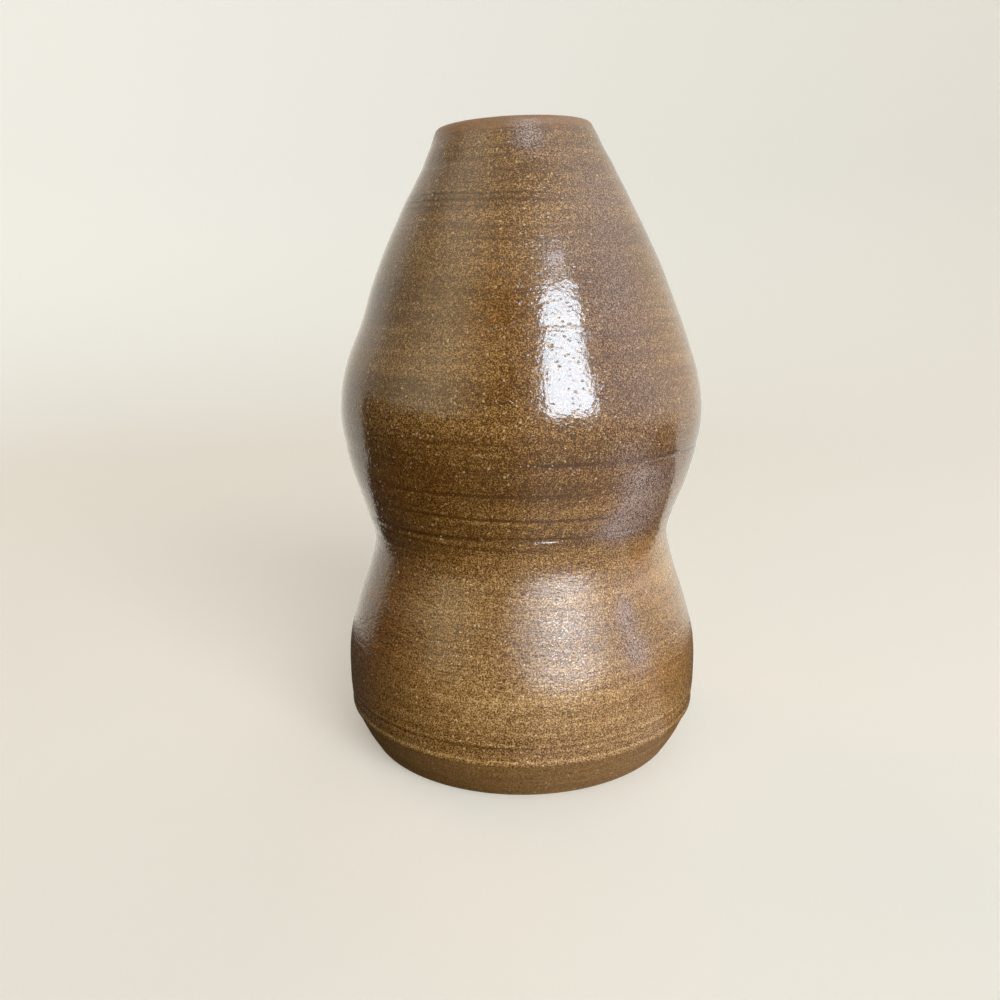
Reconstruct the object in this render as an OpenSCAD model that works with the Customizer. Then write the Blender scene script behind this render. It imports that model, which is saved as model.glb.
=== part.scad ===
// Wheel-thrown stoneware vase of gourd shape: two bulbs, a waist, a narrow mouth and a turned foot.
// All lengths are in millimetres. +Z is up, and the origin is the middle of the face it stands on.
// One outline drives the pot. The clay wall follows it, and each glaze is a coat laid on the clay's
// own path, so the coats take every throwing mark and meet the clay and each other face to face.

/* [Outline] */
// Height over the glazed lip
vase_h = 230; // [205:1:260]
// Outer diameter of the face it stands on
foot_d = 119.6; // [106:0.2:128]
// Widest diameter of the lower bulb, over the glaze
lower_bulb_d = 137; // [126:0.5:150]
// Height of the lower bulb's widest place
lower_bulb_h = 28; // [26:0.5:40]
// Narrowest diameter of the waist, over the glaze
waist_d = 113.2; // [96:0.2:124]
// Height of the waist
waist_h = 82; // [66:0.5:96]
// Widest diameter of the upper bulb, over the glaze
upper_bulb_d = 135.4; // [122:0.2:150]
// Height of the upper bulb's widest place
upper_bulb_h = 130; // [114:0.5:150]
// Outer diameter of the mouth, over the glaze
mouth_d = 55.2; // [46:0.2:74]

/* [Wall] */
// Thickness of the clay wall just above the floor
wall_t = 5.6; // [4.4:0.1:8]
// Thickness of the clay wall at the lip
lip_t = 3.2; // [2.4:0.1:4.2]
// Thickness of the floor, over the recess
floor_t = 7; // [5:0.5:10]
// Radius of the inner corner between the wall and the floor
inner_corner_r = 14; // [9:0.5:18]

/* [Turned foot] */
// Width of the ring that it stands on
foot_ring_w = 9; // [6:0.5:14]
// Depth of the recess inside the ring
recess_depth = 2.5; // [1.5:0.1:4]
// Radius that softens the edges of the ring
foot_edge_r = 1.2; // [0.6:0.1:1.8]
// Height of the groove where the turning tool stopped
turned_h = 21.8; // [20:0.1:24]
// Depth of that groove
turned_groove_depth = 0.3; // [0.2:0.05:0.8]
// Hollow of the turned band between the glaze line and the groove
turned_hollow = 0.15; // [0.1:0.05:0.6]

/* [Throwing marks] */
// Depth of the finger marks above the waist
mark_depth = 0.45; // [0.15:0.05:0.8]
// Width of a finger mark
mark_w = 6; // [4:0.5:9]
// Distance between the rings inside the wall
inner_ring_pitch = 9; // [6:0.5:14]
// Depth of the rings inside the wall
inner_ring_depth = 0.6; // [0.2:0.05:1]

/* [Glaze] */
// Thickness of the outer coat
glaze_t = 0.5; // [0.3:0.05:0.8]
// Thickness of the lining
liner_t = 0.4; // [0.3:0.05:0.7]
// Height of the glaze line, where the outer coat starts
glaze_line_h = 15; // [11:0.5:17]
// Thickness of the rolled edge at the glaze line
glaze_roll_t = 0.85; // [0.8:0.05:1.2]
// Height of that rolled edge
glaze_roll_w = 2; // [1.2:0.1:3]
// How far the outer coat runs down inside the mouth
glaze_lap = 7; // [4:0.5:12]

/* [Hidden] */

clay_colour = [0.42, 0.31, 0.19];
glaze_colour = [0.50, 0.36, 0.21];
liner_colour = [0.44, 0.32, 0.20];

// Facets of a full turn
round_facets = 180;
// Spacing of the outline's points on the smooth wall, on the finger marks and rings, and on the turned band
smooth_step = 2.4;
mark_step = 1.5;
fine_step = 0.5;
// Segments of a rounded corner, and of the lip
corner_segments = 9;
lip_segments = 12;
// Width of the turning tool's groove
turned_groove_w = 2.4;
// Slope of the recess, as the width that it takes
recess_draft = 2;
// Height over which the inner rings fade out towards the lip and the floor
ring_fade_h = 24;
// A curve to a corner takes its handles this far along the two sides, which makes it nearly round
round_share = 0.552;

// Points of the outline between its named places, as [share of the height, share of the radius]
foot_shares = [[0.25, 0.50], [0.55, 0.89]];
lower_bulb_shares = [[0.26, 0.07], [0.54, 0.42], [0.78, 0.79]];
waist_shares = [[0.23, 0.235], [0.50, 0.635], [0.75, 0.89]];
shoulder_shares = [[0.14, 0.05], [0.32, 0.213], [0.52, 0.40], [0.72, 0.64], [0.87, 0.84]];
// Places of the finger marks, as shares of the height from the waist to the upper bulb,
// and how deep each one is, as a share of the full depth
mark_place_shares = [0.10, 0.23, 0.38, 0.59, 0.84];
mark_depth_shares = [0.6, 1, 0.9, 0.7, 0.5];

clay_h = vase_h - glaze_t;
floor_h = recess_depth + floor_t;
wall_foot_h = floor_h + inner_corner_r;

// Named places of the bare clay's outline, as [radius, height]
foot_place = [foot_d / 2, 0];
lower_bulb_place = [lower_bulb_d / 2 - glaze_t, lower_bulb_h];
waist_place = [waist_d / 2 - glaze_t, waist_h];
upper_bulb_place = [upper_bulb_d / 2 - glaze_t, upper_bulb_h];
mouth_place = [mouth_d / 2 - glaze_t, clay_h];

outline_knots = concat(
    stretch(foot_place, lower_bulb_place, foot_shares),
    stretch(lower_bulb_place, waist_place, lower_bulb_shares),
    stretch(waist_place, upper_bulb_place, waist_shares),
    stretch(upper_bulb_place, mouth_place, shoulder_shares),
    [mouth_place]
);

// A place, and the points between it and the next place, which the shares give
function stretch(from, to, between) = concat(
    [from],
    [for (share = between) [from[0] + share[1] * (to[0] - from[0]), from[1] + share[0] * (to[1] - from[1])]]
);

// Change in radius per change in height at a knot, from the knots on its two sides
function knot_slope(k) =
    let (below = outline_knots[max(k - 1, 0)], above = outline_knots[min(k + 1, len(outline_knots) - 1)])
    (above[0] - below[0]) / (above[1] - below[1]);

// The knot at or just under a height
function knot_under(z, k = 0) =
    k == len(outline_knots) - 2 || z < outline_knots[k + 1][1] ? k : knot_under(z, k + 1);

// Radius of the smooth outline at a height: a curve through the knots with no kink
function outline_r(z) =
    let (
        k = knot_under(z),
        lo = outline_knots[k],
        hi = outline_knots[k + 1],
        rise = hi[1] - lo[1],
        t = (z - lo[1]) / rise,
        ease = t * t * (3 - 2 * t)
    )
    lo[0] + ease * (hi[0] - lo[0])
    + t * (1 - t) * rise * ((1 - t) * knot_slope(k) - t * knot_slope(k + 1));

// A round bump that is 1 at 0 and fades to 0 at -1 and 1
function bump(u) = abs(u) < 1 ? (1 + cos(180 * u)) / 2 : 0;

// 0 below 0, 1 above 1, and a smooth rise between
function rise_share(u) = u <= 0 ? 0 : u >= 1 ? 1 : (1 - cos(180 * u)) / 2;

function total(values, k = 0) = k < len(values) ? values[k] + total(values, k + 1) : 0;

// Depth of the finger marks at a height
function marks_at(z) = mark_depth * total([
    for (k = [0 : len(mark_place_shares) - 1])
        let (mark_h = waist_h + mark_place_shares[k] * (upper_bulb_h - waist_h))
        mark_depth_shares[k] * bump((z - mark_h) / (mark_w / 2))
]);

// Depth of the turned groove and of the hollow band under it, at a height
function turning_at(z) =
    turned_groove_depth * bump((z - turned_h) / (turned_groove_w / 2))
    + turned_hollow * bump((z - (glaze_line_h + turned_h) / 2) / ((turned_h - glaze_line_h) / 2));

// Height of the rings inside the wall, which fade out towards the floor and the lip
function inner_rings_at(z) =
    inner_ring_depth / 2 * cos(360 * (z - wall_foot_h) / inner_ring_pitch)
    * rise_share((z - wall_foot_h) / ring_fade_h) * rise_share((wall_top_h - z) / ring_fade_h);

// Unit vector to the right of a direction, which is the free side all along the clay's path
function free_side(direction) = [direction[1], -direction[0]] / norm(direction);

// Free side of the smooth outline at a height
function outline_side(z) =
    free_side([outline_r(z + fine_step / 2) - outline_r(z - fine_step / 2), fine_step]);

// The lip is a half circle on the end of the wall, and its top is at clay_h
lip_lean = outline_side(clay_h - lip_t / 2)[1];
wall_top_h = clay_h - lip_t / 2 * (1 - lip_lean);
lip_side = outline_side(wall_top_h);
lip_along = [-lip_side[1], lip_side[0]];
lip_outer = [outline_r(wall_top_h), wall_top_h];
lip_middle = lip_outer - lip_side * lip_t / 2;

// Heights from one to another, in even steps near a given size, without the last
function steps(from, to, step) =
    let (count = ceil((to - from) / step))
    [for (k = [0 : count - 1]) from + (to - from) * k / count];

function outer_point(z) = [outline_r(z) - marks_at(z) - turning_at(z), z];

function wall_at(z) = lip_t + (wall_t - lip_t) * (wall_top_h - z) / (wall_top_h - wall_foot_h);

function inner_point(z) = [outline_r(z), z] - outline_side(z) * (wall_at(z) - inner_rings_at(z));

// Points of a curve that leaves a towards the corner and comes in to b from it, without a and b
function corner_curve(a, corner, b) =
    let (a_handle = a + round_share * (corner - a), b_handle = b + round_share * (corner - b))
    [for (k = [1 : corner_segments - 1])
        let (t = k / corner_segments, s = 1 - t)
        s * s * s * a + 3 * s * s * t * a_handle + 3 * s * t * t * b_handle + t * t * t * b];

// A corner softened by a radius, given the points before and after it
function softened(before, corner, after, radius) =
    let (
        back = (before - corner) / norm(before - corner),
        ahead = (after - corner) / norm(after - corner),
        reach = radius / tan(acos(back * ahead) / 2),
        a = corner + back * reach,
        b = corner + ahead * reach
    )
    concat([a], corner_curve(a, corner, b), [b]);

// Underside, from the middle out to the edge of the standing face
recess_middle = [0, recess_depth];
recess_edge = [foot_d / 2 - foot_ring_w - recess_draft, recess_depth];
ring_inner = [foot_d / 2 - foot_ring_w, 0];
ring_outer = [foot_d / 2, 0];
foot_wall = outer_point(foot_edge_r * 2);
underside_path = concat(
    [recess_middle],
    softened(recess_middle, recess_edge, ring_inner, foot_edge_r),
    softened(recess_edge, ring_inner, ring_outer, foot_edge_r),
    softened(ring_inner, ring_outer, foot_wall, foot_edge_r)
);

// The bare foot band, from the ring up to the glaze line
band_path = [for (z = steps(foot_wall[1], glaze_line_h, mark_step)) outer_point(z)];

// The wall outside, from the glaze line up to the lip
turned_top_h = turned_h + turned_groove_w / 2;
outer_path = [
    for (z = concat(
        steps(glaze_line_h, turned_top_h, fine_step),
        steps(turned_top_h, waist_h, smooth_step),
        steps(waist_h, upper_bulb_h, mark_step),
        steps(upper_bulb_h, wall_top_h, smooth_step)
    ))
        outer_point(z)
];

lip_path = [
    for (k = [0 : lip_segments])
        let (turn = 180 * k / lip_segments)
        lip_middle + lip_t / 2 * (cos(turn) * lip_side + sin(turn) * lip_along)
];

// The wall inside, from the lip down: the part that the outer coat laps over, then the rest
lap_h = wall_top_h - glaze_lap;
lap_path = [for (z = steps(wall_top_h, lap_h, -smooth_step)) if (z < wall_top_h) inner_point(z)];
inner_path = [for (z = steps(lap_h, wall_foot_h, -mark_step)) inner_point(z)];

// The inner corner and the floor
corner_top = inner_point(wall_foot_h);
corner_below = [corner_top[0], floor_h];
corner_end = [corner_top[0] - inner_corner_r, floor_h];
floor_path = concat([corner_top], corner_curve(corner_top, corner_below, corner_end), [corner_end, [0, floor_h]]);

// Moves each point of a path to its free side, by a thickness given for each point
function coat_face(path, thickness) = [
    for (k = [0 : len(path) - 1])
        let (direction = path[min(k + 1, len(path) - 1)] - path[max(k - 1, 0)])
        path[k] + thickness[k] * free_side(direction)
];

function reversed(list) = [for (k = [len(list) - 1 : -1 : 0]) list[k]];

// Thickness of the outer coat: a rolled edge at the glaze line, then an even coat
function coat_at(z) =
    let (up = (z - glaze_line_h) / (glaze_roll_w / 2))
    up < 1
        ? glaze_roll_t * sqrt(max(0, up * (2 - up)))
        : glaze_t + (glaze_roll_t - glaze_t) * (1 - rise_share((up - 1) / 2));

module turned(points) {
    rotate_extrude($fn = round_facets) polygon(points);
}

// Thrown wall, floor and turned foot, in one piece of fired clay
module clay_body() {
    color(clay_colour)
        turned(concat(underside_path, band_path, outer_path, lip_path, lap_path, inner_path, floor_path));
}

// Speckled coat from the glaze line up to the lip, and over it into the mouth
module outer_glaze() {
    path = concat(outer_path, lip_path, lap_path, [inner_path[0]]);
    face = coat_face(path, [for (point = path) coat_at(point[1])]);
    color(glaze_colour)
        turned(concat(path, reversed([for (k = [1 : len(face) - 1]) face[k]])));
}

// Lining of the inside, from the end of the outer coat down to the middle of the floor
module liner_glaze() {
    path = concat(inner_path, floor_path);
    color(liner_colour)
        turned(concat(path, reversed(coat_face(path, [for (point = path) liner_t]))));
}

clay_body();
outer_glaze();
liner_glaze();
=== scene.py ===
"""Stoneware vase of gourd shape in a plain studio: thrown clay, speckled coat and poured lining.

Lengths are worked out in millimetres, as on the wheel, and every mesh is brought to metres at its
end. Angles round the pot are in degrees, 0 at its front and positive to its right.
"""

import logging
import math
from abc import ABC, abstractmethod
from dataclasses import dataclass, field
from enum import Enum
from typing import ClassVar

import bmesh
import bpy
from mathutils import Matrix, Vector, noise


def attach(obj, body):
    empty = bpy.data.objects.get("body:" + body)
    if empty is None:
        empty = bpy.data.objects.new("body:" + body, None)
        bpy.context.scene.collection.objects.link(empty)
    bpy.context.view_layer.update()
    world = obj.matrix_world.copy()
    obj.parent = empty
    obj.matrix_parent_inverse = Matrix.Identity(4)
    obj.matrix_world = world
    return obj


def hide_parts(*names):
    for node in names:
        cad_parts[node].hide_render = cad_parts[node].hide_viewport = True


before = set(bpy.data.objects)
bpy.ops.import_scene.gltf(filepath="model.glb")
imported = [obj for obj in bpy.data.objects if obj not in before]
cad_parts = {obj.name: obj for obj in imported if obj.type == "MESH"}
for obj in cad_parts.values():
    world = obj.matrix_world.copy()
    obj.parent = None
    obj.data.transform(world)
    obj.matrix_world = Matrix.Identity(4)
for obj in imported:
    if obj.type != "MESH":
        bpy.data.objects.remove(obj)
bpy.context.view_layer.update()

LOG = logging.getLogger("vase")
MM = 0.001
HALF_TURN = 180.0
BODY = "root"
Point = tuple[float, float]
Place = tuple[float, float, float]
Tone = tuple[float, float, float]
Socket = bpy.types.NodeSocket


class Slot(Enum):
    """Material slots of the part's record."""

    CLAY = "bare_stoneware"
    GLAZE = "speckled_glaze"
    LINER = "liner_glaze"


class Field(Enum):
    """Values left on each point of the glaze for its finish to read: what the wheel left, the
    glaze's own patches, and painted shade, painted light and painted reflections.
    """

    RING_HEIGHT = "ring_height"
    POOLING_AND_SHADING = "pooling_and_shading"
    BLOOM = "bloom_and_sheen"
    RUST_AND_SHADE = "rust_and_shade"
    FROST = "frost"


def eased(value: float) -> float:
    """Returns a smooth rise from 0 to 1 for a value that runs from 0 to 1."""
    held = min(max(value, 0.0), 1.0)
    return held * held * (3.0 - 2.0 * held)


def rounded_bump(value: float) -> float:
    """Returns 1 at 0 and a smooth fall to 0 at -1 and 1."""
    return 0.5 + 0.5 * math.cos(math.pi * value) if abs(value) < 1.0 else 0.0


def turn_between(angle: float, centre: float) -> float:
    """Returns the signed turn in degrees from one angle to another, the short way round."""
    return (angle - centre + HALF_TURN) % (2.0 * HALF_TURN) - HALF_TURN


def table_value(table: tuple[Point, ...], at: float) -> float:
    """Reads a table of places and values, with a smooth step between its rows.

    Args:
        table: Rows of place and value, in rising order of place.
        at: The place to read.

    Returns:
        The value there, held at the table's ends.
    """
    if at <= table[0][0]:
        return table[0][1]
    for (low, start), (high, end) in zip(table, table[1:]):
        if at <= high:
            return start + (end - start) * eased((at - low) / (high - low))
    return table[-1][1]


def walked(start: float, end: float, step: float) -> list[float]:
    """Returns heights from one to another in even steps near a given size, without the last."""
    count = max(1, math.ceil(abs(end - start) / step))
    return [start + (end - start) * index / count for index in range(count)]


def paced(start: float, *runs: Point) -> list[float]:
    """Walks up the wall in runs, each with a step of its own.

    Args:
        start: Height where the first run starts.
        *runs: For each run, the height where it ends, and its step.

    Returns:
        The heights in order, without the last.
    """
    heights: list[float] = []
    for end, step in runs:
        heights += walked(start, end, step)
        start = end
    return heights


def drawn(profile: list[Vector]) -> bmesh.types.BMesh:
    """Draws a profile by extruding one point along it.

    Args:
        profile: Points of radius and height.

    Returns:
        The mesh, an open path whose points keep the profile's order.
    """
    mesh = bmesh.new()
    last = mesh.verts.new((profile[0].x, 0.0, profile[0].y))
    for place in profile[1:]:
        last = bmesh.ops.extrude_vert_indiv(mesh, verts=[last])["verts"][0]
        last.co = (place.x, 0.0, place.y)
    mesh.verts.ensure_lookup_table()
    return mesh


def spun(mesh: bmesh.types.BMesh, angle: float, steps: int, merged: bool) -> None:
    """Spins all of a mesh round the wheel's axis."""
    bmesh.ops.spin(mesh, geom=mesh.verts[:] + mesh.edges[:], cent=(0.0, 0.0, 0.0),
                   axis=(0.0, 0.0, 1.0), dvec=(0.0, 0.0, 0.0), angle=angle, steps=steps,
                   use_merge=merged, use_duplicate=False)


def set_out(name: str, data: bpy.types.ID) -> bpy.types.Object:
    """Makes an object of a mesh, camera or light, and adds it to the scene.

    Args:
        name: Name of the new object.
        data: What the object shows.

    Returns:
        The new object.
    """
    made = bpy.data.objects.new(name, data)
    bpy.context.scene.collection.objects.link(made)
    return made


def dressed(mesh: bmesh.types.BMesh, name: str, material: bpy.types.Material) -> bpy.types.Object:
    """Makes an object of a mesh in one finish.

    Args:
        mesh: The finished mesh, in metres; it is freed here.
        name: Name of the new object.
        material: The finish to wear.

    Returns:
        The new object.
    """
    data = bpy.data.meshes.new(name)
    mesh.to_mesh(data)
    mesh.free()
    data.materials.append(material)
    return set_out(name, data)


@dataclass
class Outline:
    """Smooth outline of the bare clay wall: radius over height, in millimetres.

    Its points between two named places are shares of the height and radius between them.
    """

    foot: Point = (59.8, 0.0)
    lower_bulb: Point = (68.0, 28.0)
    waist: Point = (56.1, 82.0)
    upper_bulb: Point = (67.2, 130.0)
    mouth: Point = (27.1, 229.5)
    foot_shares: tuple[Point, ...] = ((0.25, 0.50), (0.55, 0.89))
    lower_bulb_shares: tuple[Point, ...] = ((0.26, 0.07), (0.54, 0.42), (0.78, 0.79))
    waist_shares: tuple[Point, ...] = ((0.23, 0.235), (0.50, 0.635), (0.75, 0.89))
    shoulder_shares: tuple[Point, ...] = (
        (0.14, 0.05), (0.32, 0.213), (0.52, 0.40), (0.72, 0.64), (0.87, 0.84),
    )
    side_reach: float = 0.25
    knots: list[Point] = field(init=False)

    def __post_init__(self) -> None:
        """Works out the outline's knots from the named places and the shares between them."""
        places = (self.foot, self.lower_bulb, self.waist, self.upper_bulb, self.mouth)
        between = (self.foot_shares, self.lower_bulb_shares, self.waist_shares,
                   self.shoulder_shares)
        self.knots = [self.mouth]
        for below, above, shares in reversed(list(zip(places, places[1:], between))):
            (low_radius, low), (high_radius, high) = below, above
            knots = [(low_radius + wide * (high_radius - low_radius), low + tall * (high - low))
                     for tall, wide in shares]
            self.knots = [below, *knots, *self.knots]

    def slope(self, index: int) -> float:
        """Works out how the outline leans at a knot.

        Args:
            index: The knot's place in the list.

        Returns:
            The change in radius per change in height, from the knots on both sides.
        """
        below = self.knots[max(index - 1, 0)]
        above = self.knots[min(index + 1, len(self.knots) - 1)]
        return (above[0] - below[0]) / (above[1] - below[1])

    def radius(self, height: float) -> float:
        """Works out the radius of the smooth wall.

        Args:
            height: Height on the wall.

        Returns:
            The radius there, on a smooth curve through the knots.
        """
        index = 0
        while index < len(self.knots) - 2 and height >= self.knots[index + 1][1]:
            index += 1
        (low_radius, low), (high_radius, high) = self.knots[index], self.knots[index + 1]
        rise = high - low
        share = (height - low) / rise
        ease = share * share * (3.0 - 2.0 * share)
        bend = share * (1.0 - share) * rise
        return (low_radius + ease * (high_radius - low_radius)
                + bend * ((1.0 - share) * self.slope(index) - share * self.slope(index + 1)))

    def side(self, height: float) -> Vector:
        """Returns the unit vector that points out of the wall, as radius and height."""
        across = self.radius(height + self.side_reach) - self.radius(height - self.side_reach)
        return Vector((2.0 * self.side_reach, -across)).normalized()

    def point(self, height: float) -> Vector:
        """Returns the wall's point at a height, as radius and height."""
        return Vector((self.radius(height), height))


@dataclass(frozen=True)
class Mark:
    """A finger mark or crease pressed into the turning wall, in millimetres and degrees.

    A reach over half a turn goes all round. The climb is the rise per degree, the ridge is the
    clay pushed up under the mark, and the stain is how dark the glaze pools in it.
    """

    height: float
    depth: float
    width: float
    angle: float = 0.0
    reach: float = 400.0
    climb: float = 0.0
    ridge: float = 0.0
    stain: float = 0.0

    fading_share: ClassVar[float] = 0.45
    ridge_share: ClassVar[float] = 0.6
    stain_reach: ClassVar[float] = 0.9

    def touches(self, height: float) -> bool:
        """Returns true where the mark, with its climb, may reach a height."""
        climbed = abs(self.climb) * min(self.reach, HALF_TURN)
        return abs(height - self.height) <= self.width + climbed

    def fade(self, turn: float) -> float:
        """Returns how much of the mark is left at a turn away from its middle."""
        left = (self.reach - abs(turn)) / (self.fading_share * self.reach)
        return 1.0 if self.reach > HALF_TURN else eased(left)

    def depth_at(self, angle: float, height: float) -> float:
        """Works out how deep the mark is.

        Args:
            angle: Angle round the pot.
            height: Height on the wall.

        Returns:
            The depth there; the ridge beside the mark is negative.
        """
        turn = turn_between(angle, self.angle)
        off = height - self.height - self.climb * turn
        if abs(off) > self.width:
            return 0.0
        half = self.width / 2.0
        ridge = self.ridge * rounded_bump((off + half) / (self.ridge_share * half))
        return self.fade(turn) * (self.depth * rounded_bump(off / half) - ridge)

    def stain_at(self, angle: float, height: float) -> float:
        """Works out how dark the glaze pools in the bottom of the mark.

        Args:
            angle: Angle round the pot.
            height: Height on the wall.

        Returns:
            The stain there, 0 away from the mark's bottom.
        """
        turn = turn_between(angle, self.angle)
        off = height - self.height - self.climb * turn
        return self.fade(turn) * self.stain * rounded_bump(off / self.stain_reach)


@dataclass(frozen=True)
class Patch:
    """A soft patch of another tone in the glaze, in millimetres and degrees."""

    angle: float
    height: float
    wide: float
    tall: float
    strength: float

    fading_reach: ClassVar[float] = 2.6

    def touches(self, height: float) -> bool:
        """Returns true where the patch may reach a height."""
        return abs(height - self.height) < self.fading_reach * self.tall

    def share_at(self, angle: float, height: float) -> float:
        """Works out how strong the patch is.

        Args:
            angle: Angle round the pot.
            height: Height on the wall.

        Returns:
            Its strength there.
        """
        across = turn_between(angle, self.angle) / self.wide
        up = (height - self.height) / self.tall
        return self.strength * math.exp(-(across * across + up * up))


# Lavender-grey bloom where the glaze ran thick, which also holds painted sheen and painted
# reflections; rust where it broke thin, which also holds painted shade on the lower bulb's left;
# frost where it dried in the fire; and pools of darker glaze, which also hold painted shade on the
# left, while a pool of negative strength is painted light
PATCHES: dict[Field, tuple[Patch, ...]] = {
    Field.BLOOM: (
        # Partly painted sheen: at 31 to 48 degrees these stand in part for the window's soft
        # reflection beside its highlight
        Patch(31.0, 122.0, 7.0, 6.0, 0.3), Patch(38.0, 113.0, 7.0, 4.5, 0.6),
        Patch(37.0, 104.0, 6.0, 4.5, 0.7), Patch(36.0, 95.5, 9.0, 5.0, 1.1),
        Patch(36.0, 64.0, 4.0, 8.0, 0.9), Patch(38.0, 50.0, 6.0, 7.0, 0.8),
        Patch(48.0, 72.0, 6.0, 5.0, 0.4), Patch(34.0, 172.0, 16.0, 26.0, 0.38),
        Patch(38.0, 140.0, 14.0, 12.0, 0.18), Patch(47.0, 104.0, 13.0, 15.0, 0.65),
        Patch(150.0, 118.0, 14.0, 16.0, 0.7), Patch(-160.0, 150.0, 16.0, 22.0, 0.45),
        Patch(-120.0, 92.0, 9.0, 9.0, 0.6), Patch(115.0, 66.0, 10.0, 12.0, 0.6),
        # The patches at 223.5 mm and 186 mm are painted reflections, on the lip and above the
        # window's highlight
        Patch(-70.0, 168.0, 18.0, 20.0, 0.2), Patch(8.0, 223.5, 9.0, 5.0, 1.0),
        Patch(12.0, 186.0, 6.0, 3.5, 0.4), Patch(44.0, 205.0, 16.0, 18.0, 0.25),
    ),
    Field.RUST_AND_SHADE: (
        Patch(50.0, 80.0, 8.0, 8.0, 0.8), Patch(58.0, 66.0, 10.0, 8.0, 0.5),
        Patch(44.0, 40.0, 10.0, 10.0, 0.55), Patch(66.0, 40.0, 12.0, 14.0, 0.6),
        Patch(60.0, 150.0, 12.0, 20.0, 0.4), Patch(-10.0, 168.0, 16.0, 16.0, 0.35),
        Patch(-58.0, 106.0, 20.0, 18.0, 0.8), Patch(170.0, 82.0, 14.0, 10.0, 0.7),
        Patch(-140.0, 46.0, 16.0, 12.0, 0.6), Patch(110.0, 150.0, 18.0, 22.0, 0.4),
        Patch(-50.0, 228.5, 26.0, 3.5, 0.8), Patch(120.0, 228.0, 30.0, 3.0, 0.6),
        # Painted shade on the left of the lower bulb
        Patch(-60.0, 56.0, 24.0, 34.0, 1.0),
    ),
    Field.FROST: (Patch(13.0, 62.0, 18.0, 19.0, 1.4),),
    Field.POOLING_AND_SHADING: (
        # Painted shade on the left of both bulbs; the patches of negative strength below are
        # painted light on the lower bulb and the waist
        Patch(-64.0, 58.0, 26.0, 34.0, 0.62), Patch(-60.0, 102.0, 18.0, 20.0, 0.25),
        Patch(4.0, 36.5, 40.0, 5.5, -0.34), Patch(10.0, 57.0, 26.0, 10.0, 0.13),
        Patch(62.0, 68.0, 16.0, 14.0, -0.3), Patch(5.0, 84.0, 34.0, 4.0, -0.16),
        Patch(160.0, 52.0, 30.0, 20.0, 0.25), Patch(-150.0, 150.0, 26.0, 22.0, 0.15),
    ),
}


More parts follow.
